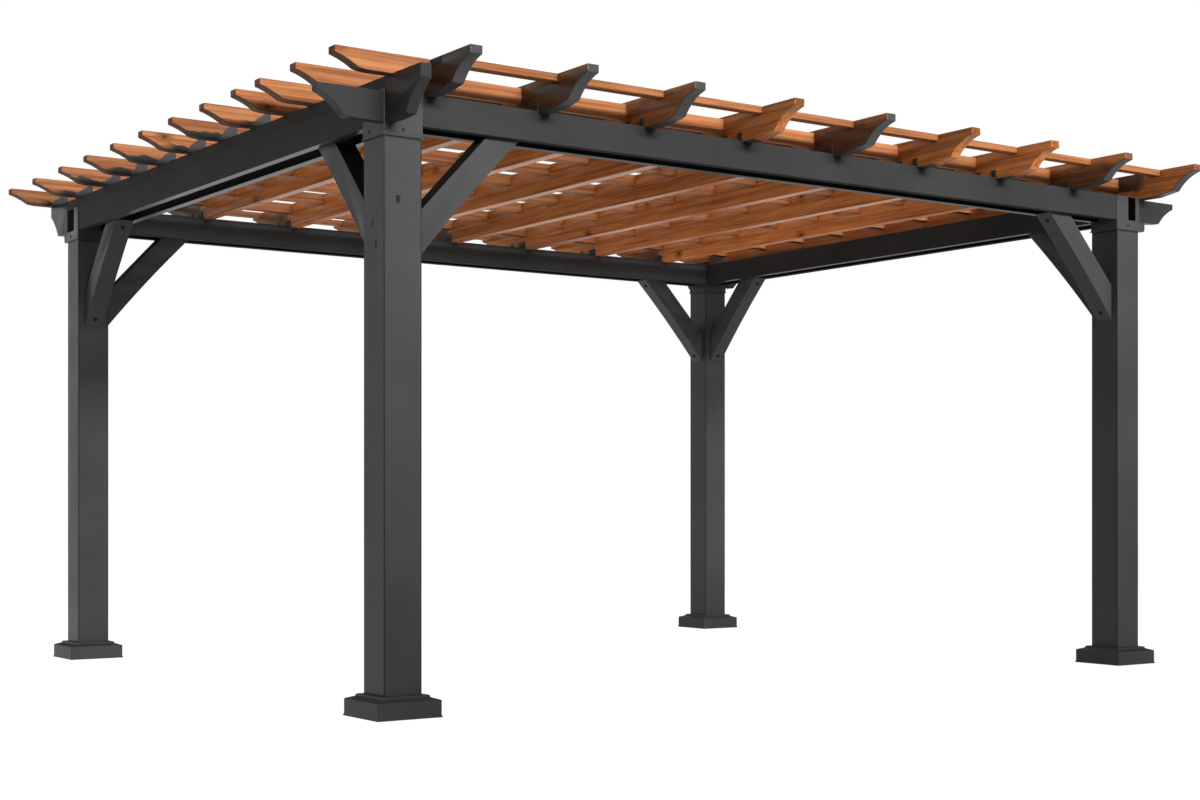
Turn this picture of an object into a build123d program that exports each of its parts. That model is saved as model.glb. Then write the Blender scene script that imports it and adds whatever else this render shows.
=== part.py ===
from build123d import *
import os

# A free-standing pergola: four steel posts with stepped base trims, a ring of
# lipped steel beams on corner caps, knee braces, shaped beam tails, and a roof
# lattice of wooden rafters with purlins let into their tops. A steel rail on
# the left beam carries the purlins at one side, and the last rafter, outside
# the right beam, carries them at the other.
# Lengths are in millimetres. X runs along the front, Y from front to back and
# Z up, with the origin on the ground in the middle of the plan.

# Plan and height, measured between post centres and up to the beams
post_spacing_x = 3914.0
post_spacing_y = 3141.0
beam_underside = 2106.0

# Posts of square tube, closed at the foot by a welded plate
post_width = 152.0
post_wall = 3.0
foot_plate_thickness = 6.0

# Base trims: a block that flares at the foot, a sloped shoulder and a step
trim_width = 258.0
trim_flare = 4.0
trim_flare_height = 10.0
trim_block_height = 62.0
trim_shoulder_height = 10.0
trim_step_width = 196.0
trim_step_height = 8.0

# Corner caps: a sleeve over the post, level with the beams, with a rolled lip
# at its lower edge, an open socket on each outer face that has no beam tail and
# a small ledge under some of the tails
cap_sheet = 3.0
cap_band_height = 46.0
cap_lip_height = 6.0
cap_lip_proud = 3.0
side_socket_width = 96.0
front_socket_width = 52.0
socket_offset = 27.0
ledge_length = 41.0
ledge_radius = 16.0

# Beams: lipped channels, open below
beam_depth = 116.0
beam_wall = 3.0
beam_lip = 37.0

# Beam tails, the shaped ends that carry each beam line past the corner. Those
# along Y stand as high as the rail
tail_length = 256.0
tail_thickness = 42.0
tail_inset = 2.0
tail_tip_height = 26.0
tall_tail_tip_height = 50.0
tail_cove_length = 104.0
tail_cove_drop_gap = 4.0
tail_heel_length = 160.0
tail_cove_sag = 9.0

# Knee braces, one along each beam at every post
brace_thickness = 86.0
brace_rise = 308.0
brace_run = 290.0
brace_foot = 165.0
brace_head = 142.0
brace_arch = 8.0

# Rafters, running front to back, notched over the beams. The first stands inside
# the left beam, and the last outside the right one, on the beam tails there
rafter_count = 9
rafter_thickness = 50.0
rafter_depth = 124.0
rafter_overhang = 321.0
rafter_left_inset = 186.0
birdsmouth_depth = 8.0
rafter_tip_height = 30.0
rafter_cove_length = 124.0
rafter_cove_drop = 108.0
rafter_heel_length = 222.0
rafter_cove_sag = 14.0

# Purlins, running side to side, their tops level with the rafters: slats with
# deeper tails, whose shoulders hook over the outer rafters. Of the first, over
# the front beam, there are only the tails, and its slat lies further out. That
# slat and the last one are the thinnest. The places of the purlins are shares of
# half a rafter's length
purlin_thickness = 50.0
purlin_depth = 72.0
slat_depth = 50.0
edge_slat_depth = 28.0
front_slat_reach = 100.0
purlin_side_overhang = 216.0
purlin_tip_height = 26.0
purlin_cove_length = 90.0
purlin_cove_drop = 67.0
purlin_heel_length = 125.0
purlin_cove_sag = 4.0
purlin_place_shares = (
    -0.848, -0.692, -0.539, -0.428, -0.274, -0.110, 0.058, 0.229, 0.401, 0.575, 0.766, 0.953,
)

# Blocking boards, between the rafters over the front beam
blocking_depth = 62.0
blocking_thickness = 32.0
blocking_setback = 118.0

# Rafter tabs, short plates welded beside the rafters on both edges of the front
# and back beams
tab_thickness = 4.0
tab_height = 34.0
inner_tab_width = 60.0
outer_tab_width = 26.0

# Rail, a square tube with open ends along the outer edge of the left beam
rail_wall = 3.0

# Fits between pieces, and the overrun of a cut
joint_clearance = 0.3
overrun = 5.0

# Heights and half sizes that several pieces share
beam_top = beam_underside + beam_depth
rafter_underside = beam_top - birdsmouth_depth
roof_top = rafter_underside + rafter_depth
purlin_underside = roof_top - purlin_depth
cap_width = post_width + 2 * cap_sheet
beam_width = post_width
post_x = post_spacing_x / 2
post_y = post_spacing_y / 2
frame_half_x = post_x + post_width / 2
frame_half_y = post_y + post_width / 2
rafter_half_length = frame_half_y + rafter_overhang
purlin_half_length = frame_half_x + purlin_side_overhang

STAND = (Align.CENTER, Align.CENTER, Align.MIN)

# The way each corner faces along X and Y, the axes that its tails run along, and
# those of the tails with a ledge under them
CORNERS = {
    "front_left": (-1, -1, "XY", ""),
    "front_right": (1, -1, "X", "X"),
    "back_left": (-1, 1, "Y", "Y"),
    "back_right": (1, 1, "XY", "XY"),
}

# The first and last rafters' centre lines, the others evenly between them
first_rafter = rafter_left_inset - frame_half_x
last_rafter = post_x + cap_width / 2 + joint_clearance + rafter_thickness / 2
rafter_pitch = (last_rafter - first_rafter) / (rafter_count - 1)
rafter_places = [first_rafter + index * rafter_pitch for index in range(rafter_count)]
purlin_places = [share * rafter_half_length for share in purlin_place_shares]
front_slat_place = -frame_half_y - front_slat_reach
slat_places = [front_slat_place] + purlin_places[1:]
slat_depths = [slat_depth] * len(slat_places)
slat_depths[0] = edge_slat_depth
slat_depths[-1] = edge_slat_depth

# The outer faces of the outer rafters, where the purlins' tails end
left_shoulder = first_rafter - rafter_thickness / 2 - joint_clearance
right_shoulder = last_rafter + rafter_thickness / 2 + joint_clearance


def square_prism(low_width, high_width, height):
    """A square block on the ground that narrows or widens evenly."""
    low = Rectangle(low_width, low_width)
    high = Pos(0, 0, height) * Rectangle(high_width, high_width)
    return loft([low, high])


def make_post():
    """Square tube with its foot plate, up to the underside of the beams."""
    bore_width = post_width - 2 * post_wall
    tube = Box(post_width, post_width, beam_underside, align=STAND)
    bore = Box(bore_width, bore_width, beam_underside, align=STAND)
    return tube - Pos(0, 0, foot_plate_thickness) * bore


def make_trim():
    """Stepped cover that fits round the foot of a post."""
    shoulder_base = trim_block_height
    step_base = shoulder_base + trim_shoulder_height
    trim_height = step_base + trim_step_height
    block_height = trim_block_height - trim_flare_height
    flare = square_prism(trim_width + 2 * trim_flare, trim_width, trim_flare_height)
    block = square_prism(trim_width, trim_width, block_height)
    shoulder = square_prism(trim_width, trim_step_width, trim_shoulder_height)
    step = square_prism(trim_step_width, trim_step_width, trim_step_height)
    cover = flare + Pos(0, 0, trim_flare_height) * block
    cover += Pos(0, 0, shoulder_base) * shoulder
    cover += Pos(0, 0, step_base) * step
    hole_width = post_width + 2 * joint_clearance
    return cover - Box(hole_width, hole_width, trim_height, align=STAND)


def outward_turn(axis, side_x, side_y):
    """Turns a piece that points along +X outwards from a corner, along an axis."""
    if axis == "Y":
        return Rot(0, 0, 90 * side_y)
    return Rot(0, 0, 0 if side_x > 0 else 180)


def beside(axis, side_x, side_y, offset):
    """Moves a piece that runs along an axis sideways, to the corner's outer side."""
    if axis == "Y":
        return Pos(side_x * offset, 0, 0)
    return Pos(0, side_y * offset, 0)


def make_ledge(width):
    """Ledge under a beam tail, pointing along X from the cap's face."""
    root = cap_width / 2 - cap_sheet / 2
    length = cap_width / 2 + ledge_length - root
    radius = min(ledge_radius, cap_band_height, ledge_length)
    block = Pos(root + length / 2, 0, 0) * Box(length, width, cap_band_height, align=STAND)
    lower_edge = block.edges().filter_by(Axis.Y).group_by(Axis.Z)[0].sort_by(Axis.X)[-1]
    return fillet(lower_edge, radius - joint_clearance)


def make_socket(axis, side_x, side_y):
    """Opening in a cap's outer face, nearer to the corner's outer side."""
    width = front_socket_width if axis == "Y" else side_socket_width
    height = beam_depth - 2 * cap_sheet
    mouth = Box(cap_sheet + overrun, width, height, align=STAND)
    socket = Pos(cap_width / 2 - cap_sheet / 2, 0, cap_band_height + cap_sheet) * mouth
    return beside(axis, side_x, side_y, socket_offset) * outward_turn(axis, side_x, side_y) * socket


def make_cap(side_x, side_y, tails, ledges):
    """Sleeve on a post's head, at the post's own centre in plan."""
    height = cap_band_height + beam_depth
    inner_width = cap_width - 2 * cap_sheet
    lip_width = cap_width + 2 * cap_lip_proud
    inside_base = cap_band_height + cap_sheet
    inside_height = beam_depth - 2 * cap_sheet
    cap = Box(cap_width, cap_width, height, align=STAND)
    cap += Box(lip_width, lip_width, cap_lip_height, align=STAND)
    cap -= Box(inner_width, inner_width, cap_band_height, align=STAND)
    cap -= Pos(0, 0, inside_base) * Box(inner_width, inner_width, inside_height, align=STAND)
    for axis in "XY":
        if axis not in tails:
            cap -= make_socket(axis, side_x, side_y)
    ledge_inner_side = tail_offset() - tail_thickness / 2
    ledge_outer_side = cap_width / 2
    ledge = make_ledge(ledge_outer_side - ledge_inner_side)
    ledge_offset = (ledge_inner_side + ledge_outer_side) / 2
    for axis in ledges:
        cap += beside(axis, side_x, side_y, ledge_offset) * outward_turn(axis, side_x, side_y) * ledge
    return Pos(0, 0, beam_underside - cap_band_height) * cap


def tail_offset():
    """From a post's centre line to the centre line of its beam tails."""
    return post_width / 2 - tail_inset - tail_thickness / 2


def shaped_half(length, depth, thickness, tip_height, cove_length, cove_drop, heel_length, cove_sag):
    """Half a board along X with its top at zero: a cove rises to the tip."""
    tip = (length, -tip_height)
    cove_end = (length - cove_length, -cove_drop)
    heel = (length - heel_length, -depth)
    outline = Polyline((0, 0), (length, 0), tip)
    outline += SagittaArc(tip, cove_end, -cove_sag)
    outline += Polyline(cove_end, heel, (0, -depth), (0, 0))
    return extrude(make_face(Plane.XZ * outline), amount=thickness / 2, both=True)


def make_tail(depth, tip_height):
    """Beam tail along X, from the cap's face outwards, its top at zero."""
    cove_drop = depth - tail_cove_drop_gap
    return shaped_half(
        tail_length, depth, tail_thickness, tip_height,
        tail_cove_length, cove_drop, tail_heel_length, tail_cove_sag,
    )


def make_corner_tails(side_x, side_y, tails):
    """The tails of a corner, at the post's own centre in plan.

    Those along X end under the last rafter, those along Y under the purlins.
    """
    tops = {"X": rafter_underside, "Y": purlin_underside}
    tip_heights = {"X": tail_tip_height, "Y": tall_tail_tip_height}
    shapes = []
    for axis in tails:
        top = tops[axis]
        tail = Pos(cap_width / 2, 0, top) * make_tail(top - beam_underside, tip_heights[axis])
        turned = outward_turn(axis, side_x, side_y) * tail
        shapes.append(beside(axis, side_x, side_y, tail_offset()) * turned)
    return Part() + shapes


def make_beam(length):
    """Lipped channel along X, open below, standing at the beams' underside."""
    inner_width = beam_width - 2 * beam_wall
    inner_depth = beam_depth - 2 * beam_wall
    slot_width = beam_width - 2 * beam_lip
    bar = Box(length, beam_width, beam_depth, align=STAND)
    bar -= Pos(0, 0, beam_wall) * Box(length, inner_width, inner_depth, align=STAND)
    bar -= Box(length, slot_width, beam_wall, align=STAND)
    return Pos(0, 0, beam_underside) * bar


def make_tabbed_beam(length, inner_side):
    """Front or back beam with upright tabs beside the rafters between its ends."""
    beam = make_beam(length)
    for side, width in ((inner_side, inner_tab_width), (-inner_side, outer_tab_width)):
        tab = Box(tab_thickness, width, tab_height, align=STAND)
        tab_y = side * (beam_width / 2 - width / 2)
        for place in rafter_places[1:-1]:
            tab_x = place - rafter_thickness / 2 - joint_clearance - tab_thickness / 2
            beam += Pos(tab_x, tab_y, beam_top) * tab
    return beam


def make_rail():
    """Square tube along Y, between the tails of the left corners."""
    length = post_spacing_y + cap_width
    height = purlin_underside - beam_top
    tube = Box(tail_thickness, length, height, align=STAND)
    bore = Box(tail_thickness - 2 * rail_wall, length, height - 2 * rail_wall, align=STAND)
    return Pos(-post_x - tail_offset(), 0, beam_top) * (tube - Pos(0, 0, rail_wall) * bore)


def make_blocking():
    """A row of boards along X that fill the spaces between the rafters."""
    gap = rafter_thickness + 2 * joint_clearance
    place_y = blocking_setback + blocking_thickness / 2 - frame_half_y
    boards = []
    for left, right in zip(rafter_places[:-1], rafter_places[1:]):
        board = Box(right - left - gap, blocking_thickness, blocking_depth, align=STAND)
        boards.append(Pos((left + right) / 2, place_y, purlin_underside) * board)
    return Part() + boards


def make_brace():
    """Knee brace along X, from a post's face at zero, arched below."""
    foot_top = (0, beam_underside - brace_rise)
    foot_bottom = (0, beam_underside - brace_rise - brace_foot)
    head_start = (brace_run, beam_underside)
    head_end = (brace_run + brace_head, beam_underside)
    outline = Polyline(foot_bottom, foot_top, head_start, head_end)
    outline += SagittaArc(head_end, foot_bottom, -brace_arch)
    return extrude(make_face(Plane.XZ * outline), amount=brace_thickness / 2, both=True)


def make_brace_pair(side_x, side_y):
    """The two braces of a post, at the post's own centre in plan."""
    brace = Pos(post_width / 2, 0, 0) * make_brace()
    turn_x = 180 if side_x > 0 else 0
    return Part() + [Rot(0, 0, turn_x) * brace, Rot(0, 0, -90 * side_y) * brace]


def make_board(half):
    """A whole board from its shaped half."""
    return half + mirror(half, about=Plane.YZ)


def make_rafter_blank():
    """Rafter along X with its top at zero, housed from above for the purlins."""
    half = shaped_half(
        rafter_half_length, rafter_depth, rafter_thickness, rafter_tip_height,
        rafter_cove_length, rafter_cove_drop, rafter_heel_length, rafter_cove_sag,
    )
    housing_width = purlin_thickness + 2 * joint_clearance
    rafter = make_board(half)
    for place, depth in zip(slat_places, slat_depths):
        housing = Box(housing_width, rafter_thickness + overrun, depth + overrun, align=STAND)
        rafter -= Pos(place, 0, -depth) * housing
    return rafter


def make_rafter(blank, place, on_beams):
    """Rafter in its place, notched over the front and back beams if it rests there."""
    notch_length = beam_width + 2 * joint_clearance
    notch = Box(notch_length, rafter_thickness + overrun, birdsmouth_depth + overrun, align=STAND)
    rafter = blank
    if on_beams:
        for centre in (-post_y, post_y):
            rafter -= Pos(centre, 0, -rafter_depth - overrun) * notch
    return Pos(place, 0, roof_top) * Rot(0, 0, 90) * rafter


def make_front_slat():
    """Slat in front of the front beam, its ends level with the outer rafters' faces."""
    length = last_rafter - first_rafter + rafter_thickness
    slat = Box(length, purlin_thickness, edge_slat_depth, align=STAND)
    return Pos((first_rafter + last_rafter) / 2, front_slat_place, roof_top - edge_slat_depth) * slat


def make_purlin(middle_depth):
    """Purlin along X with its top at zero, cut back to this depth between its tails."""
    half = shaped_half(
        purlin_half_length, purlin_depth, purlin_thickness, purlin_tip_height,
        purlin_cove_length, purlin_cove_drop, purlin_heel_length, purlin_cove_sag,
    )
    cut_length = right_shoulder - left_shoulder
    cut_height = purlin_depth - middle_depth + overrun
    cut = Box(cut_length, purlin_thickness + overrun, cut_height, align=STAND)
    return make_board(half) - Pos((left_shoulder + right_shoulder) / 2, 0, -purlin_depth - overrun) * cut


def write(name, shape):
    export_step(shape, os.path.join("parts", name + ".step"))


def main():
    os.makedirs("parts", exist_ok=True)
    post = make_post()
    trim = make_trim()
    for corner, (side_x, side_y, tails, ledges) in CORNERS.items():
        place = Pos(side_x * post_x, side_y * post_y, 0)
        write(corner + "_post", place * post)
        write(corner + "_base_trim", place * trim)
        write(corner + "_corner_cap", place * make_cap(side_x, side_y, tails, ledges))
        write(corner + "_beam_tails", place * make_corner_tails(side_x, side_y, tails))
        write(corner + "_knee_braces", place * make_brace_pair(side_x, side_y))

    side_beam = Rot(0, 0, 90) * make_beam(post_spacing_y - cap_width)
    write("left_beam", Pos(-post_x, 0, 0) * side_beam)
    write("right_beam", Pos(post_x, 0, 0) * side_beam)
    for name, side_y in (("front_beam", -1), ("back_beam", 1)):
        beam = make_tabbed_beam(post_spacing_x - cap_width, -side_y)
        write(name, Pos(0, side_y * post_y, 0) * beam)
    write("left_rail", make_rail())
    write("front_blocking", make_blocking())

    rafter_blank = make_rafter_blank()
    for index, place in enumerate(rafter_places):
        on_beams = index < rafter_count - 1
        write("rafter_" + str(index + 1), make_rafter(rafter_blank, place, on_beams))

    write("front_slat", make_front_slat())
    cut_through = -overrun
    for index, place in enumerate(purlin_places):
        middle_depth = slat_depths[index] if index else cut_through
        write("purlin_" + str(index + 1), Pos(0, place, roof_top) * make_purlin(middle_depth))


main()
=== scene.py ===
import math
import random

import bmesh
import bpy
from mathutils import Euler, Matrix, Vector


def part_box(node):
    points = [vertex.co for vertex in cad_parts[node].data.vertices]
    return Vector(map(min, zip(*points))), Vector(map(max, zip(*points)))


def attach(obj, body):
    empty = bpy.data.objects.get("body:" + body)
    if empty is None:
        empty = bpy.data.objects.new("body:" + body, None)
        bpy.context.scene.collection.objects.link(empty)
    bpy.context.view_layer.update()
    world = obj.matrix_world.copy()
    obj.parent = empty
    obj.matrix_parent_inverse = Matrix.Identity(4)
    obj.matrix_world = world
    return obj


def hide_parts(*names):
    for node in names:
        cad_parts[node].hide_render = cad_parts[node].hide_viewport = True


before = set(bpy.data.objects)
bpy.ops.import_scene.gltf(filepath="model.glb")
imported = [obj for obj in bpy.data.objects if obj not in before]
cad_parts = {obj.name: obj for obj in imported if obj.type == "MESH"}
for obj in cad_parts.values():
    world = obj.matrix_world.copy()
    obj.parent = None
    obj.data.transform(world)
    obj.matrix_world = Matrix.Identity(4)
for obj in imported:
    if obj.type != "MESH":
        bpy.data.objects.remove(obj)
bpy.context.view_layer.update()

X_AXIS = 0
Y_AXIS = 1
Z_AXIS = 2

# Camera, at the photograph's place and angle
CAMERA_PLACE = (-5.1478, -7.4245, 0.7588)
CAMERA_HEADING = -0.6105
CAMERA_LENS = 55.573
CAMERA_SENSOR = 36.0
CAMERA_RISE = 0.08678

# Colours, as linear light
COAT_DEEP = (0.044, 0.044, 0.045, 1.0)
COAT_PALE = (0.057, 0.057, 0.058, 1.0)
# A deeper charcoal for the front and side beams, its extra darkness a painted shade from the tails and roof
# over them
SHADED_BEAM_COAT_DEEP = (0.0295, 0.0295, 0.0295, 1.0)
SHADED_BEAM_COAT_PALE = (0.0385, 0.0385, 0.0385, 1.0)
TAIL_COAT_DEEP = (0.024, 0.024, 0.024, 1.0)
TAIL_COAT_PALE = (0.032, 0.032, 0.032, 1.0)
RAFTER_EARLY = (0.645, 0.231, 0.072, 1.0)
RAFTER_LATE = (0.33, 0.0975, 0.025, 1.0)
# A dark brown stain on some rafter tails, also laid as painted shade under the purlins' tails
TAIL_STAIN_AND_SHADE = (0.026, 0.018, 0.014, 1.0)
TAIL_CHARCOAL = (0.022, 0.021, 0.020, 1.0)
PURLIN_EARLY = (0.40, 0.158, 0.061, 1.0)
PURLIN_LATE = (0.215, 0.070, 0.023, 1.0)
# Painted shade on the slats' sides between the beams
SLAT_PAINTED_SHADE = (0.55, 0.50, 0.46, 1.0)
PALE_SHEEN = (1.0, 0.88, 0.80, 1.0)
KNOT = (0.050, 0.014, 0.006, 1.0)
END_GRAIN = (0.45, 0.42, 0.42, 1.0)
BOLT_BLACK = (0.006, 0.006, 0.006, 1.0)
BOLT_WORN = (0.016, 0.016, 0.016, 1.0)
# Near black for the posts' seams, the painted shadow under the caps and the painted shade on the braces'
# tops
SEAM_AND_SHADE_BLACK = (0.009, 0.009, 0.009, 1.0)
FLOOR_WHITE = (0.9, 0.9, 0.9, 1.0)
PURE_WHITE = (1.0, 1.0, 1.0, 1.0)

# Edges: boards are planed with eased arrises, steel is folded with a small radius
BOARD_EASE = 0.003
STEEL_EASE = 0.0015
TRIM_EASE = 0.003
EASE_SEGMENTS = 2
ROUND_PROFILE = 0.5
MERGE_DISTANCE = 0.00002
FLAT_ANGLE = math.radians(0.5)
ARRIS_ANGLE = math.radians(28)
SMOOTH_ANGLE = math.radians(20)


def nodes_in_order(prefix, axis):
    """The nodes of one kind, in order along an axis."""
    names = [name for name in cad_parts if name.startswith(prefix)]
    return sorted(names, key=lambda name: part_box(name)[0][axis])


# Pieces by kind, and heights and sides that several finishes share
CORNERS = ("front_left", "front_right", "back_left", "back_right")
RAFTERS = nodes_in_order("rafter_", X_AXIS)
PURLINS = nodes_in_order("purlin_", Y_AXIS)
FRONT_BOARDS = ("front_slat", "front_blocking")
ROOF_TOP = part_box(RAFTERS[0])[1].z
PURLIN_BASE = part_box(PURLINS[0])[0].z
BEAM_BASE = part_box("left_beam")[0].z
FRAME_HALF_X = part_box("right_beam")[1].x
FRAME_HALF_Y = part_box("back_beam")[1].y
BEAM_LINE_X = (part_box("right_beam")[0].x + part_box("right_beam")[1].x) / 2
BEAM_LINE_Y = (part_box("back_beam")[0].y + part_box("back_beam")[1].y) / 2
POST_HALF = (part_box("back_right_post")[1].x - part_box("back_right_post")[0].x) / 2
CAP_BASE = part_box("back_right_corner_cap")[0].z
BLOCKING_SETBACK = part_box("front_blocking")[0].y + FRAME_HALF_Y
PURLIN_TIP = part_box(PURLINS[0])[1].x
FIRST_RAFTER_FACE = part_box(RAFTERS[0])[1].x
LAST_RAFTER_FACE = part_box(RAFTERS[-1])[1].x


def place_camera():
    """A level camera with a shifted frame, as the posts stand upright in the picture."""
    camera = bpy.data.objects.new("picture_camera", bpy.data.cameras.new("picture_camera"))
    camera.data.lens = CAMERA_LENS
    camera.data.sensor_width = CAMERA_SENSOR
    camera.data.shift_y = CAMERA_RISE
    camera.location = CAMERA_PLACE
    camera.rotation_euler = (math.pi / 2, 0.0, CAMERA_HEADING)
    bpy.context.scene.collection.objects.link(camera)
    bpy.context.scene.camera = camera


# Sockets of a mix node that mixes colours
MIX_SHARE = 0
MIX_FIRST = 6
MIX_SECOND = 7
MIX_RESULT = 2


class Finish:
    """A material in the making, with short ways to add its nodes."""

    def __init__(self, name):
        self.material = bpy.data.materials.new(name)
        self.material.use_nodes = True
        self.tree = self.material.node_tree
        self.shader = self.tree.nodes["Principled BSDF"]
        self.place = self.add("ShaderNodeTexCoord").outputs["Object"]

    def add(self, kind, inputs=None, **settings):
        node = self.tree.nodes.new(kind)
        for name, value in settings.items():
            setattr(node, name, value)
        for name, value in (inputs or {}).items():
            self.feed(node.inputs[name], value)
        return node

    def feed(self, socket, value):
        if isinstance(value, bpy.types.NodeSocket):
            self.tree.links.new(value, socket)
        else:
            socket.default_value = value

    def math(self, operation, first, second=0.0):
        node = self.add("ShaderNodeMath", operation=operation)
        self.feed(node.inputs[0], first)
        self.feed(node.inputs[1], second)
        return node.outputs[0]

    def size(self, value):
        """A value without its sign."""
        return self.math("ABSOLUTE", value)

    def product(self, first, *others):
        """All the factors multiplied together."""
        total = first
        for factor in others:
            total = self.math("MULTIPLY", total, factor)
        return total

    def mix(self, share, first, second, blend_type="MIX"):
        node = self.add("ShaderNodeMix", data_type="RGBA", blend_type=blend_type)
        self.feed(node.inputs[MIX_SHARE], share)
        self.feed(node.inputs[MIX_FIRST], first)
        self.feed(node.inputs[MIX_SECOND], second)
        return node.outputs[MIX_RESULT]

    def tinted(self, colour, tint):
        return self.mix(1.0, colour, tint, "MULTIPLY")

    def rise(self, value, low, high, start=0.0, end=1.0):
        """A smooth step from start to end as the value goes from low to high."""
        inputs = {"Value": value, "From Min": low, "From Max": high, "To Min": start, "To Max": end}
        return self.add("ShaderNodeMapRange", inputs, interpolation_type="SMOOTHSTEP").outputs[0]

    def fall(self, value, low, high):
        """A smooth step from one to zero as the value goes from low to high."""
        return self.rise(value, low, high, 1.0, 0.0)

    def scaled(self, vector, scale):
        return self.add("ShaderNodeMapping", {"Vector": vector, "Scale": scale}).outputs[0]

    def noise(self, vector, scale, detail=2.0, roughness=0.5):
        inputs = {"Vector": vector, "Scale": scale, "Detail": detail, "Roughness": roughness}
        return self.add("ShaderNodeTexNoise", inputs).outputs["Fac"]

    def axes(self, vector):
        return self.add("ShaderNodeSeparateXYZ", {"Vector": vector}).outputs

    def facing(self):
        return self.axes(self.add("ShaderNodeNewGeometry").outputs["Normal"])

    def set_sheen(self, level):
        self.shader.inputs["Specular IOR Level"].default_value = level

    def finish(self, colour, roughness, height, bump_strength, bump_depth):
        bump_inputs = {"Height": height, "Strength": bump_strength, "Distance": bump_depth}
        bump = self.add("ShaderNodeBump", bump_inputs)
        self.feed(self.shader.inputs["Base Color"], colour)
        self.feed(self.shader.inputs["Roughness"], roughness)
        self.feed(self.shader.inputs["Normal"], bump.outputs[0])
        return self.material


# Charcoal powder coat: clouds and a speckle in its tone, patches in its gloss, and a peel
CLOUD_SCALE = 2.6
CLOUD_SHARE = 0.8
SPECKLE_SCALE = 420.0
SPECKLE_SHARE = 0.25
COAT_TONE_RANGE = (0.3, 0.75)
GLOSS_PATCH_SCALE = 7.0
GLOSS_PATCH_RANGE = (0.25, 0.75)
COAT_ROUGHNESS = (0.27, 0.36)
PEEL_SCALE = 520.0
PEEL_STRENGTH = 0.1
PEEL_DEPTH = 0.0005
COAT_SHEEN = 0.12
DULL_TOP_SHEEN = 0.1
TAIL_SHEEN = 0.08

# Dark seams up the posts' corners, and a painted shadow under the caps
SEAM_AND_SHADOW_WIDTH = 0.006
SEAM_AND_SHADOW_BLUR = 0.002
SEAM_AND_SHADOW_SHARE = 0.75

# Upward part of a face's normal, where a coat turns into that of a top or of a lip
TOP_RANGE = (0.3, 0.6)
LIP_RANGE = (-0.9, -0.6)

# Wear on the bolt heads
WEAR_SCALE = 160.0
WEAR_COLOUR_RANGE = (0.4, 0.7)
WEAR_GLOSS_RANGE = (0.3, 0.7)
WEAR_STRENGTH = 0.2
WEAR_DEPTH = 0.0003
BOLT_ROUGHNESS = (0.35, 0.55)
BOLT_SHEEN = 0.1


def coat_colour(finish, deep=COAT_DEEP, pale=COAT_PALE):
    """Charcoal with slow clouds and a fine speckle in its tone."""
    cloud = finish.noise(finish.place, CLOUD_SCALE, detail=3.0)
    speckle = finish.noise(finish.place, SPECKLE_SCALE, detail=1.0)
    tone = finish.math("ADD", finish.product(cloud, CLOUD_SHARE), finish.product(speckle, SPECKLE_SHARE))
    return finish.mix(finish.rise(tone, *COAT_TONE_RANGE), deep, pale)


def patchy_roughness(finish):
    """Roughness that drifts between two values in slow patches."""
    patches = finish.noise(finish.place, GLOSS_PATCH_SCALE, detail=3.0)
    return finish.rise(patches, *GLOSS_PATCH_RANGE, *COAT_ROUGHNESS)


def coated(finish, colour, roughness, sheen=COAT_SHEEN):
    """A powder coat with a faint orange peel."""
    peel = finish.noise(finish.place, PEEL_SCALE)
    finish.set_sheen(sheen)
    return finish.finish(colour, roughness, peel, PEEL_STRENGTH, PEEL_DEPTH)


def cap_coat():
    finish = Finish("charcoal_powder_coat")
    return coated(finish, coat_colour(finish), patchy_roughness(finish))


def post_coat():
    """The posts' coat, with dark seams up the corners and a painted shadow under the cap."""
    finish = Finish("post_charcoal_powder_coat")
    x, y, z = finish.axes(finish.place)
    from_edge = []
    for place, line in ((x, BEAM_LINE_X), (y, BEAM_LINE_Y)):
        off_centre = finish.size(finish.math("SUBTRACT", finish.size(place), line))
        from_edge.append(finish.size(finish.math("SUBTRACT", off_centre, POST_HALF)))
    at_corner = finish.fall(finish.math("MAXIMUM", *from_edge), SEAM_AND_SHADOW_WIDTH - SEAM_AND_SHADOW_BLUR, SEAM_AND_SHADOW_WIDTH)
    # Painted shadow: a dark band on the post just under the cap's lip
    shadow_under_cap = finish.rise(z, CAP_BASE - SEAM_AND_SHADOW_WIDTH - SEAM_AND_SHADOW_BLUR, CAP_BASE - SEAM_AND_SHADOW_WIDTH)
    seam_and_shadow = finish.product(finish.math("MAXIMUM", at_corner, shadow_under_cap), SEAM_AND_SHADOW_SHARE)
    return coated(finish, finish.mix(seam_and_shadow, coat_colour(finish), SEAM_AND_SHADE_BLACK), patchy_roughness(finish))


def dull_top_coat(name, top_tone_or_shade):
    """A coat that is matt on the faces that look up, and takes the given colour there: a near-black painted
    shade on the braces' tops, the coat's deep tone on the trims'.
    """
    finish = Finish(name)
    upward = finish.rise(finish.facing()[Z_AXIS], *TOP_RANGE)
    colour = finish.mix(upward, coat_colour(finish), top_tone_or_shade)
    roughness = finish.math("MAXIMUM", upward, patchy_roughness(finish))
    return coated(finish, colour, roughness, DULL_TOP_SHEEN)


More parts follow.
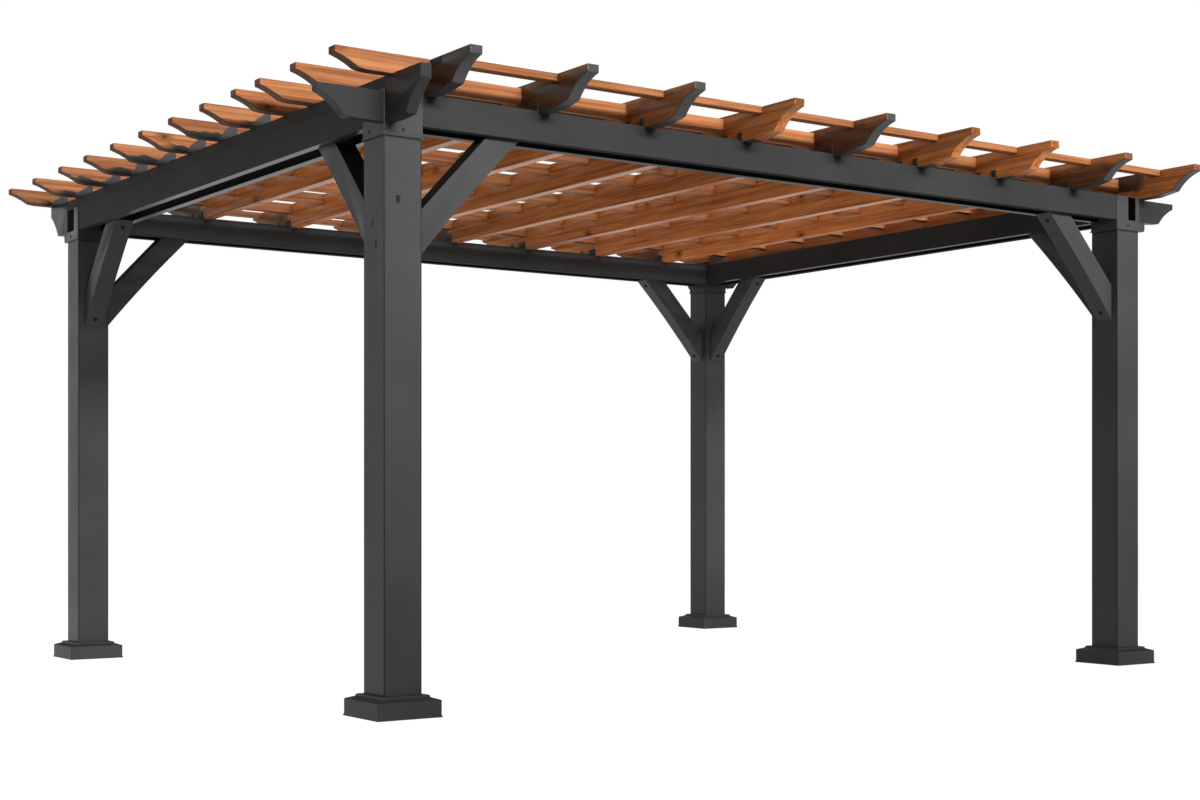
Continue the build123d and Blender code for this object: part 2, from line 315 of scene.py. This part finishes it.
def beam_coat(name, sheen, side, outer_lip, inner_lip, deep=SHADED_BEAM_COAT_DEEP, pale=SHADED_BEAM_COAT_PALE):
    """A beam's coat, with a roughness of its own on the sides and on each lip, by default darker than the
    posts' coat as a painted shade.
    """
    finish = Finish(name)
    x, y, _ = finish.axes(finish.place)
    past_x = finish.math("SUBTRACT", finish.size(x), BEAM_LINE_X)
    past_y = finish.math("SUBTRACT", finish.size(y), BEAM_LINE_Y)
    outer = finish.math("GREATER_THAN", finish.math("MAXIMUM", past_x, past_y), 0.0)
    lip = finish.rise(outer, 0.0, 1.0, inner_lip, outer_lip)
    below = finish.fall(finish.facing()[Z_AXIS], *LIP_RANGE)
    roughness = finish.rise(below, 0.0, 1.0, side, lip)
    return coated(finish, coat_colour(finish, deep, pale), roughness, sheen)


def tail_coat():
    """The beam tails' coat, the deepest of all."""
    finish = Finish("tail_charcoal_powder_coat")
    colour = coat_colour(finish, TAIL_COAT_DEEP, TAIL_COAT_PALE)
    return coated(finish, colour, patchy_roughness(finish), TAIL_SHEEN)


def blackened_steel():
    """The steel of bolt heads, worn a little at random; on the slots its black stands as painted shade for
    their insides.
    """
    finish = Finish("blackened_bolt_steel")
    wear = finish.noise(finish.place, WEAR_SCALE, detail=3.0)
    colour = finish.mix(finish.rise(wear, *WEAR_COLOUR_RANGE), BOLT_BLACK, BOLT_WORN)
    roughness = finish.rise(wear, *WEAR_GLOSS_RANGE, *BOLT_ROUGHNESS)
    finish.set_sheen(BOLT_SHEEN)
    return finish.finish(colour, roughness, wear, WEAR_STRENGTH, WEAR_DEPTH)


# What differs from board to board: how the grain leans and is shifted, what share of the
# places for knots stays empty, and how light the board is
GRAIN_LEAN = 0.015
GRAIN_SHIFT = 40
KNOT_SHARE_RANGE = (0.38, 0.6)
BOARD_TONE_RANGE = (0.9, 1.1)
RAFTER_SEED = 100
PURLIN_SEED = 200
FRONT_BOARD_SEED = 300

# Layers of the grain: their scales along and across the board, and how they make its tone
STREAK_SCALES = (0.9, 66.0)
STREAK_SHARE = 0.7
FIBRE_SCALES = (5.0, 240.0)
FIBRE_SHARE = 0.3
GRAIN_TONE_RANGE = (0.39, 0.64)
SLOW_SCALES = (0.45, 5.0)
SLOW_RANGE = (0.3, 0.7)
SLOW_LIGHTNESS = (0.84, 1.14)
GRAIN_GLOSS_RANGE = (0.3, 0.7)
GRAIN_STRENGTH = 0.15
GRAIN_DEPTH = 0.0006

# Knots: how many places for one lie along and up a metre, and how far a knot and the
# darker wood round it reach, as parts of such a place
KNOT_SPREAD = (3.0, 4.5, 1.0)
KNOT_RAG_SCALES = (30.0, 60.0)
KNOT_RAG = 0.05
KNOT_RANGE = (0.04, 0.085)
NEAR_KNOT_RANGE = (0.04, 0.2)
NEAR_KNOT_DARKNESS = 0.35
KNOT_STRENGTH = 0.85

# Parts of a face's normal: along the board on an end, and upward on a side or an underside
END_FACING = 0.75
SIDE_FACING = 0.6
UNDERSIDE_FACING = -0.2

# Sheen and roughness of the oiled wood
RAFTER_SHEEN = 0.12
RAFTER_ROUGHNESS = (0.24, 0.34)
PURLIN_SHEEN = 0.15
PURLIN_ROUGHNESS = (0.5, 0.62)


class Timber(Finish):
    """A board's own wood: streaks and fibres along the board, and scattered knots."""

    def __init__(self, name, along, early, late, seed):
        super().__init__(name)
        draw = random.Random(seed)
        lean = Euler([draw.uniform(-GRAIN_LEAN, GRAIN_LEAN) for axis in range(3)])
        shift = Vector([draw.uniform(-GRAIN_SHIFT, GRAIN_SHIFT) for axis in range(3)])
        placing = {"Vector": self.place, "Location": shift, "Rotation": lean}
        self.grain = self.add("ShaderNodeMapping", placing).outputs[0]
        self.along = along
        self.early = early
        self.late = late
        self.knot_share = draw.uniform(*KNOT_SHARE_RANGE)
        self.tone = draw.uniform(*BOARD_TONE_RANGE)

    def layer(self, scales, detail=2.0, roughness=0.5):
        """Noise at one scale along the board and at another across it."""
        along_scale, across_scale = scales
        scale = [across_scale] * 3
        scale[self.along] = along_scale
        return self.noise(self.scaled(self.grain, scale), 1.0, detail, roughness)

    def knots(self):
        """The darker wood round each knot, and the knot itself."""
        axes = self.axes(self.grain)
        face = self.add("ShaderNodeCombineXYZ", {"X": axes[self.along], "Y": axes[Z_AXIS]}).outputs[0]
        placing = {"Vector": self.scaled(face, KNOT_SPREAD), "Scale": 1.0}
        cells = self.add("ShaderNodeTexVoronoi", placing, voronoi_dimensions="2D")
        kept = self.math("GREATER_THAN", self.axes(cells.outputs["Color"])[0], self.knot_share)
        ragged = self.product(self.layer(KNOT_RAG_SCALES), KNOT_RAG)
        distance = self.math("ADD", cells.outputs["Distance"], ragged)
        near = self.fall(distance, *NEAR_KNOT_RANGE)
        heart = self.fall(distance, *KNOT_RANGE)
        return self.product(near, kept), self.product(heart, kept)

    def colour_and_height(self):
        near_knot, knot = self.knots()
        darkness = self.product(near_knot, NEAR_KNOT_DARKNESS)
        streak = self.math("ADD", self.layer(STREAK_SCALES, detail=4.0, roughness=0.62), darkness)
        fibre = self.layer(FIBRE_SCALES, roughness=0.6)
        slow = self.layer(SLOW_SCALES)
        tone = self.math("ADD", self.product(streak, STREAK_SHARE), self.product(fibre, FIBRE_SHARE))
        colour = self.mix(self.rise(tone, *GRAIN_TONE_RANGE), self.early, self.late)
        lightness = self.product(self.rise(slow, *SLOW_RANGE, *SLOW_LIGHTNESS), self.tone)
        grey = {"Red": lightness, "Green": lightness, "Blue": lightness}
        colour = self.tinted(colour, self.add("ShaderNodeCombineColor", grey).outputs[0])
        colour = self.mix(self.product(knot, KNOT_STRENGTH), colour, KNOT)
        end = self.math("GREATER_THAN", self.size(self.facing()[self.along]), END_FACING)
        colour = self.mix(end, colour, self.tinted(colour, END_GRAIN))
        return colour, tone

    def oiled(self, colour, height, sheen, roughness_range):
        """An oiled board, a little duller in its late wood."""
        self.set_sheen(sheen)
        self.shader.inputs["Specular Tint"].default_value = PALE_SHEEN
        roughness = self.rise(height, *GRAIN_GLOSS_RANGE, *roughness_range)
        return self.finish(colour, roughness, height, GRAIN_STRENGTH, GRAIN_DEPTH)


# Charcoal on the tails of each rafter: how much of it is on the sides, how far
# down from the top it begins, whether it is on the end, and how far out from
# the beam it runs on the underside
RAFTER_PAINT = [
    (1.0, -0.15, True, 1.0),
    (0.9, -0.01, True, 1.0),
    (0.62, 0.0, True, 1.0),
    (0.0, 0.0, False, 0.09),
    (0.85, 0.0, True, 1.0),
    (0.0, 0.0, False, 0.11),
    (0.0, 0.0, False, 0.11),
    (0.8, 0.022, False, 1.0),
    (0.0, 0.0, False, 1.0),
]

# How the charcoal on a rafter waves and fades, and what share of it is left near the top
RAFTER_WAVE_SCALE = 11.0
RAFTER_WAVE = 0.06
TAIL_BLUR = 0.01
TOP_STAIN_SHARE = 0.25
STAIN_FAINT_DEPTH = 0.02
STAIN_FULL_DEPTH = 0.07
UNDERSIDE_BLUR = 0.03
BEAM_FACE_SLACK = 0.002

# How much further in the first rafter's charcoal begins, as no blocking meets it there
FIRST_TAIL_EXTRA = 0.3

# Dark patch on the last rafter, over the beam: where it begins and ends outward
# of the beam's face, where its lower edge is and how strong it is
PATCH_START = -0.15
PATCH_START_BLUR = 0.03
PATCH_END = 0.03
PATCH_END_BLUR = 0.04
PATCH_BASE = ROOF_TOP - 0.06
PATCH_BASE_BLUR = 0.02
PATCH_SHARE = 0.85

# Share of each purlin's tail, from its root, whose lower edge is painted
PURLIN_PAINT = [0.0, 0.0, 0.0, 0.0, 0.27, 0.8, 0.52, 0.75, 0.6, 0.8, 0.5, 0.32]

# How that paint waves, and between which places it fades out along and up the tail
PURLIN_WAVE_SCALE = 14.0
REACH_WAVE = 0.05
REACH_FADE = (-0.02, 0.05)
EDGE_WAVE = 0.04
EDGE_FADE = (PURLIN_BASE + 0.002, PURLIN_BASE + 0.009)

# How far in over the left beam a purlin's tail is finished, where the charcoal on
# a painted root ends at its lower edge, and how strong the painted shade under a tail is
ROOT_INSET = 0.07
ROOT_END = FRAME_HALF_X + 0.04
ROOT_BLUR = 0.012
PURLIN_UNDERSIDE_SHADE_SHARE = 0.75

# How far from the middle the sides of the slats get painted shade
PAINTED_SHADE_HALF = FRAME_HALF_X - 0.2


def rafter_finish(index):
    """A rafter's wood, with the charcoal of its tails over it."""
    name = RAFTERS[index]
    timber = Timber(name + "_oiled_wood", Y_AXIS, RAFTER_EARLY, RAFTER_LATE, RAFTER_SEED + index)
    colour, height = timber.colour_and_height()
    side_share, side_start, on_end, underside_reach = RAFTER_PAINT[index]
    coat = coat_colour(timber)
    _, y, z = timber.axes(timber.place)
    _, normal_y, normal_z = timber.facing()
    outward = timber.math("SUBTRACT", timber.size(y), FRAME_HALF_Y)
    wave = timber.product(timber.noise(timber.place, RAFTER_WAVE_SCALE), RAFTER_WAVE)
    waved_outward = timber.math("ADD", outward, wave)
    if side_share:
        begin = -BLOCKING_SETBACK - (FIRST_TAIL_EXTRA if index == 0 else 0.0)
        on_tail = timber.rise(outward, begin - TAIL_BLUR, begin + TAIL_BLUR)
        depth = timber.math("ADD", timber.math("SUBTRACT", ROOF_TOP, z), wave)
        faint_depth = side_start + STAIN_FAINT_DEPTH
        full_depth = side_start + STAIN_FULL_DEPTH
        stain = timber.rise(depth, faint_depth, full_depth, TOP_STAIN_SHARE * side_share, side_share)
        colour = timber.mix(timber.product(stain, on_tail), colour, TAIL_STAIN_AND_SHADE)
    if index == len(RAFTERS) - 1:
        after = timber.rise(outward, PATCH_START, PATCH_START + PATCH_START_BLUR)
        before = timber.fall(waved_outward, PATCH_END, PATCH_END + PATCH_END_BLUR)
        above = timber.rise(timber.math("ADD", z, wave), PATCH_BASE, PATCH_BASE + PATCH_BASE_BLUR)
        colour = timber.mix(timber.product(after, before, above, PATCH_SHARE), colour, TAIL_STAIN_AND_SHADE)
    reach = timber.fall(waved_outward, underside_reach, underside_reach + UNDERSIDE_BLUR)
    past_beam = timber.math("GREATER_THAN", outward, -BEAM_FACE_SLACK)
    below = timber.math("LESS_THAN", normal_z, UNDERSIDE_FACING)
    painted = timber.product(below, past_beam, reach)
    if on_end:
        end = timber.math("GREATER_THAN", timber.size(normal_y), END_FACING)
        painted = timber.math("MAXIMUM", painted, timber.product(end, past_beam))
    colour = timber.mix(painted, colour, coat)
    return timber.oiled(colour, height, RAFTER_SHEEN, RAFTER_ROUGHNESS)


def purlin_finish(index):
    """A purlin's wood: painted shade on the slat sides between the beams and under the tails,
    and charcoal on the root and the lower edge of those tails that are painted."""
    name = PURLINS[index]
    timber = Timber(name + "_oiled_wood", X_AXIS, PURLIN_EARLY, PURLIN_LATE, PURLIN_SEED + index)
    colour, height = timber.colour_and_height()
    x, _, z = timber.axes(timber.place)
    normal_z = timber.facing()[Z_AXIS]
    # Painted shade: the slats' upright sides between the beams are darkened, as under the roof
    inside = timber.math("LESS_THAN", timber.size(x), PAINTED_SHADE_HALF)
    upright = timber.math("LESS_THAN", timber.size(normal_z), SIDE_FACING)
    colour = timber.mix(timber.product(inside, upright), colour, timber.tinted(colour, SLAT_PAINTED_SHADE))
    on_left_tail = timber.math("LESS_THAN", x, ROOT_INSET - FRAME_HALF_X)
    on_right_tail = timber.math("GREATER_THAN", x, LAST_RAFTER_FACE)
    on_tail = timber.math("MAXIMUM", on_left_tail, on_right_tail)
    # Painted shade: the undersides of the tails are darkened with the dark stain colour
    below = timber.math("LESS_THAN", normal_z, UNDERSIDE_FACING)
    colour = timber.mix(timber.product(on_tail, below, PURLIN_UNDERSIDE_SHADE_SHARE), colour, TAIL_STAIN_AND_SHADE)
    if PURLIN_PAINT[index]:
        reach = FRAME_HALF_X + (PURLIN_TIP - FRAME_HALF_X) * PURLIN_PAINT[index]
        wave = timber.noise(timber.place, PURLIN_WAVE_SCALE)
        along = timber.math("ADD", timber.size(x), timber.product(wave, REACH_WAVE))
        near_root = timber.fall(along, reach + REACH_FADE[0], reach + REACH_FADE[1])
        level = timber.math("SUBTRACT", z, timber.product(wave, EDGE_WAVE))
        on_edge = timber.fall(level, *EDGE_FADE)
        colour = timber.mix(timber.product(near_root, on_edge, on_tail), colour, TAIL_CHARCOAL)
        slanted = timber.math("ADD", along, timber.math("SUBTRACT", z, PURLIN_BASE))
        on_root = timber.fall(slanted, ROOT_END, ROOT_END + ROOT_BLUR)
        colour = timber.mix(timber.product(on_root, on_tail), colour, COAT_DEEP)
    return timber.oiled(colour, height, PURLIN_SHEEN, PURLIN_ROUGHNESS)


def front_board_finish(index):
    """A front board's wood, charcoal where it is let into the first, painted rafter."""
    name = FRONT_BOARDS[index]
    timber = Timber(name + "_oiled_wood", X_AXIS, PURLIN_EARLY, PURLIN_LATE, FRONT_BOARD_SEED + index)
    colour, height = timber.colour_and_height()
    let_in = timber.math("LESS_THAN", timber.axes(timber.place)[X_AXIS], FIRST_RAFTER_FACE)
    colour = timber.mix(let_in, colour, TAIL_CHARCOAL)
    return timber.oiled(colour, height, PURLIN_SHEEN, PURLIN_ROUGHNESS)


def eased(name, radius, material):
    """A copy of a piece with its arrises eased, which stands for it."""
    shape = bmesh.new()
    shape.from_mesh(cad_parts[name].data)
    bmesh.ops.remove_doubles(shape, verts=shape.verts, dist=MERGE_DISTANCE)
    bmesh.ops.dissolve_limit(shape, angle_limit=FLAT_ANGLE, verts=shape.verts, edges=shape.edges)
    arrises = [edge for edge in shape.edges if edge.is_manifold and edge.calc_face_angle() > ARRIS_ANGLE]
    bmesh.ops.bevel(
        shape, geom=arrises, offset=radius, affect="EDGES", segments=EASE_SEGMENTS,
        profile=ROUND_PROFILE, material=-1, clamp_overlap=True,
    )
    add_piece(name + "_eased", shape, material, name)


def add_piece(name, shape, material, replaced=None):
    mesh = bpy.data.meshes.new(name)
    shape.to_mesh(mesh)
    shape.free()
    for face in mesh.polygons:
        face.use_smooth = True
    mesh.set_sharp_from_angle(angle=SMOOTH_ANGLE)
    mesh.materials.append(material)
    piece = bpy.data.objects.new(name, mesh)
    bpy.context.scene.collection.objects.link(piece)
    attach(piece, "root")
    if replaced:
        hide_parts(replaced)


def dress_boards():
    for index, name in enumerate(RAFTERS):
        eased(name, BOARD_EASE, rafter_finish(index))
    for index, name in enumerate(PURLINS):
        eased(name, BOARD_EASE, purlin_finish(index))
    for index, name in enumerate(FRONT_BOARDS):
        eased(name, BOARD_EASE, front_board_finish(index))


def dress_steel():
    # The front and side beams take the darker coat, a painted shade; the back beam takes the posts' coat
    dull_beam = beam_coat(
        "dull_beam_charcoal_powder_coat", sheen=0.03, side=0.5, outer_lip=1.0, inner_lip=0.36,
    )
    bright_lip_beam = beam_coat(
        "bright_lip_beam_charcoal_powder_coat", sheen=0.12, side=0.7, outer_lip=0.32, inner_lip=0.32,
    )
    matt_lip_beam = beam_coat(
        "matt_lip_beam_charcoal_powder_coat", sheen=0.06, side=0.5, outer_lip=1.0, inner_lip=1.0,
        deep=COAT_DEEP, pale=COAT_PALE,
    )
    for name in ("front_beam", "right_beam"):
        eased(name, STEEL_EASE, dull_beam)
    for name in ("left_beam", "left_rail"):
        eased(name, STEEL_EASE, bright_lip_beam)
    eased("back_beam", STEEL_EASE, matt_lip_beam)
    posts = post_coat()
    # Painted shade: the braces' upward faces are near black
    braces = dull_top_coat("brace_charcoal_powder_coat", SEAM_AND_SHADE_BLACK)
    trims = dull_top_coat("trim_charcoal_powder_coat", COAT_DEEP)
    tails = tail_coat()
    caps = cap_coat()
    for corner in CORNERS:
        eased(corner + "_post", STEEL_EASE, posts)
        eased(corner + "_knee_braces", STEEL_EASE, braces)
        eased(corner + "_base_trim", TRIM_EASE, trims)
        eased(corner + "_beam_tails", STEEL_EASE, tails)
        eased(corner + "_corner_cap", STEEL_EASE, caps)


# Bolt heads, with their profile as parts of the radius and of the height
CAP_BOLT_RADIUS = 0.0045
BRACE_BOLT_RADIUS = 0.008
BOLT_HEIGHT_SHARE = 0.6
CAP_SHEET = 0.003
CAP_BOLT_DROP = 0.021
CAP_BOLT_SIDE = 0.030
BRACE_BOLT_SHARES = (0.07, 0.93)
BOLT_STEPS = 20
BOLT_PROFILE = (
    (0.0, 0.0), (1.25, 0.0), (1.25, 0.22), (1.2, 0.28), (0.95, 0.28),
    (0.92, 0.6), (0.72, 0.88), (0.38, 0.99), (0.0, 1.0),
)


def bolt_head(shape, place, outward, radius):
    """A domed head on a thin washer, turned from its profile."""
    turn = outward.to_track_quat("Z", "Y").to_matrix()
    points = []
    for across, up in BOLT_PROFILE:
        offset = turn @ Vector((across * radius, 0.0, up * radius * BOLT_HEIGHT_SHARE))
        points.append(shape.verts.new(place + offset))
    edges = [shape.edges.new(pair) for pair in zip(points, points[1:])]
    bmesh.ops.spin(
        shape, geom=points + edges, cent=place, axis=outward, angle=2 * math.pi,
        steps=BOLT_STEPS, use_merge=True,
    )


def cap_bolts(corner):
    """The places and directions of the bolts on a cap's two outer faces."""
    low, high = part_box(corner + "_post")
    centre = (low + high) / 2
    side_x = math.copysign(1.0, centre.x)
    side_y = math.copysign(1.0, centre.y)
    half = (high.x - low.x) / 2 + CAP_SHEET
    level = BEAM_BASE - CAP_BOLT_DROP
    return [
        (Vector((centre.x + side_x * half, centre.y + CAP_BOLT_SIDE, level)), Vector((side_x, 0.0, 0.0))),
        (Vector((centre.x, centre.y + side_y * half, level)), Vector((0.0, side_y, 0.0))),
    ]


def brace_bolts(corner):
    """The places and directions of the bolts on the undersides of a post's braces."""
    low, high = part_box(corner + "_post")
    brace_low, brace_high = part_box(corner + "_knee_braces")
    centre = (low + high) / 2
    bolts = []
    for axis in (X_AXIS, Y_AXIS):
        inward = -math.copysign(1.0, centre[axis])
        foot = centre.copy()
        foot[axis] += inward * (high[axis] - low[axis]) / 2
        foot.z = brace_low.z
        head = centre.copy()
        head[axis] = brace_high[axis] if inward > 0 else brace_low[axis]
        head.z = brace_high.z
        run = head - foot
        outward = Vector((0.0, 0.0, -abs(run[axis])))
        outward[axis] = inward * run.z
        outward.normalize()
        for share in BRACE_BOLT_SHARES:
            bolts.append((foot + run * share, outward))
    return bolts


def add_bolts(steel):
    for corner in CORNERS:
        groups = (
            ("cap_bolts", cap_bolts(corner), CAP_BOLT_RADIUS),
            ("brace_bolts", brace_bolts(corner), BRACE_BOLT_RADIUS),
        )
        for group, bolts, radius in groups:
            shape = bmesh.new()
            for place, outward in bolts:
                bolt_head(shape, place, outward, radius)
            bmesh.ops.remove_doubles(shape, verts=shape.verts, dist=MERGE_DISTANCE)
            bmesh.ops.recalc_face_normals(shape, faces=shape.faces)
            add_piece(corner + "_" + group, shape, steel)


# Slots in the near post, one in front and two on its outer side: how far each is from the
# middle of the face and below the beams, and its width and height
SLOT_PROUD = 0.0008
SLOT_RIM_SHARE = 0.2
SLOT_SINK_SHARE = 0.6
FRONT_SLOT = (-0.0194, 0.268, 0.016, 0.026)
SIDE_SLOTS = ((0.0082, 0.343, 0.004, 0.030), (-0.0158, 0.425, 0.006, 0.030))


def add_slot(name, steel, outward, side, drop, width, height):
    """A thin black plate with a sunk middle, its black a painted shade for the inside of the slot."""
    low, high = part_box("front_left_post")
    place = (low + high) / 2
    axis = X_AXIS if outward.x else Y_AXIS
    place[axis] = low[axis] - SLOT_PROUD / 2
    place[1 - axis] += side
    place.z = BEAM_BASE - drop
    shape = bmesh.new()
    bmesh.ops.create_cube(shape, size=1.0)
    bmesh.ops.scale(shape, verts=shape.verts, vec=(width, height, SLOT_PROUD))
    front = max(shape.faces, key=lambda face: face.calc_center_median().z)
    bmesh.ops.inset_individual(
        shape, faces=[front], thickness=width * SLOT_RIM_SHARE, depth=-SLOT_PROUD * SLOT_SINK_SHARE,
    )
    bmesh.ops.rotate(shape, verts=shape.verts, matrix=outward.to_track_quat("Z", "Y").to_matrix())
    bmesh.ops.translate(shape, verts=shape.verts, vec=place)
    add_piece(name, shape, steel)


def add_slots(steel):
    add_slot("front_left_post_front_slot", steel, Vector((0.0, -1.0, 0.0)), *FRONT_SLOT)
    for number, slot in enumerate(SIDE_SLOTS, 1):
        add_slot("front_left_post_side_slot_%d" % number, steel, Vector((-1.0, 0.0, 0.0)), *slot)


# Floor and light
FLOOR_REACH = 60.0
FLOOR_CELLS = 8
FLOOR_LIFT = 0.8
FLOOR_LIFT_STRENGTH = 1.18
AMBIENT = 0.34
BACKDROP = 1.0
KEY_POWER = 136.0
KEY_PLACE = (-0.3, -9.6, 4.3)
KEY_AIM = (-0.3, -1.65, 2.6)
KEY_SIZE = (8.0, 0.8)
KEY_SPREAD = math.radians(43)
BACK_PLACE = (6.5, 8.0, 4.2)
BACK_AIM = (0.0, 0.0, 1.6)
BACK_SIZE = (6.0, 1.5)
BACK_POWER = 260.0
BACK_SPREAD = math.radians(110)
FAR_POST_PLACE = (-3.0, -9.6, 1.0)
FAR_POST_AIM = (1.95, 1.5, 1.15)
FAR_POST_SIZE = (0.6, 0.6)
FAR_POST_POWER = 1.8
FAR_POST_SPREAD = math.radians(11)


def seen_directly(tree):
    """One for rays from the eye and for mirror and see-through rays, else zero."""
    path = tree.nodes.new("ShaderNodeLightPath")
    total = path.outputs["Is Camera Ray"]
    for name in ("Is Glossy Ray", "Is Transmission Ray"):
        larger = tree.nodes.new("ShaderNodeMath")
        larger.operation = "MAXIMUM"
        tree.links.new(total, larger.inputs[0])
        tree.links.new(path.outputs[name], larger.inputs[1])
        total = larger.outputs[0]
    return total


def lay_floor():
    """A matt white floor, lifted towards pure white where it is seen."""
    shape = bmesh.new()
    bmesh.ops.create_grid(shape, x_segments=FLOOR_CELLS, y_segments=FLOOR_CELLS, size=FLOOR_REACH)
    mesh = bpy.data.meshes.new("floor")
    shape.to_mesh(mesh)
    shape.free()
    floor = bpy.data.objects.new("floor", mesh)
    bpy.context.scene.collection.objects.link(floor)
    material = bpy.data.materials.new("white_floor")
    material.use_nodes = True
    tree = material.node_tree
    tree.nodes.clear()
    matt = tree.nodes.new("ShaderNodeBsdfDiffuse")
    matt.inputs["Color"].default_value = FLOOR_WHITE
    lift = tree.nodes.new("ShaderNodeEmission")
    lift.inputs["Color"].default_value = PURE_WHITE
    lift.inputs["Strength"].default_value = FLOOR_LIFT_STRENGTH
    share = tree.nodes.new("ShaderNodeMath")
    share.operation = "MULTIPLY"
    share.inputs[1].default_value = FLOOR_LIFT
    both = tree.nodes.new("ShaderNodeMixShader")
    out = tree.nodes.new("ShaderNodeOutputMaterial")
    tree.links.new(seen_directly(tree), share.inputs[0])
    tree.links.new(share.outputs[0], both.inputs[0])
    tree.links.new(matt.outputs[0], both.inputs[1])
    tree.links.new(lift.outputs[0], both.inputs[2])
    tree.links.new(both.outputs[0], out.inputs["Surface"])
    mesh.materials.append(material)


def light_world():
    """White where it is seen, a softer grey where it only lights."""
    world = bpy.data.worlds.new("studio")
    bpy.context.scene.world = world
    world.use_nodes = True
    tree = world.node_tree
    background = tree.nodes["Background"]
    background.inputs["Color"].default_value = PURE_WHITE
    strength = tree.nodes.new("ShaderNodeMapRange")
    strength.inputs["To Min"].default_value = AMBIENT
    strength.inputs["To Max"].default_value = BACKDROP
    tree.links.new(seen_directly(tree), strength.inputs["Value"])
    tree.links.new(strength.outputs[0], background.inputs["Strength"])


def light_softbox(name, place, aim, size, power, spread):
    lamp = bpy.data.lights.new(name, "AREA")
    lamp.shape = "RECTANGLE"
    lamp.size, lamp.size_y = size
    lamp.energy = power
    lamp.spread = spread
    softbox = bpy.data.objects.new(name, lamp)
    softbox.location = place
    softbox.rotation_euler = (Vector(aim) - Vector(place)).to_track_quat("-Z", "Y").to_euler()
    bpy.context.scene.collection.objects.link(softbox)


place_camera()
dress_boards()
dress_steel()
black_steel = blackened_steel()
add_bolts(black_steel)
add_slots(black_steel)
lay_floor()
light_world()
light_softbox("key_softbox", KEY_PLACE, KEY_AIM, KEY_SIZE, KEY_POWER, KEY_SPREAD)
light_softbox("far_post_lamp", FAR_POST_PLACE, FAR_POST_AIM, FAR_POST_SIZE, FAR_POST_POWER, FAR_POST_SPREAD)
light_softbox("back_softbox", BACK_PLACE, BACK_AIM, BACK_SIZE, BACK_POWER, BACK_SPREAD)
bpy.context.scene.view_settings.view_transform = "Standard"
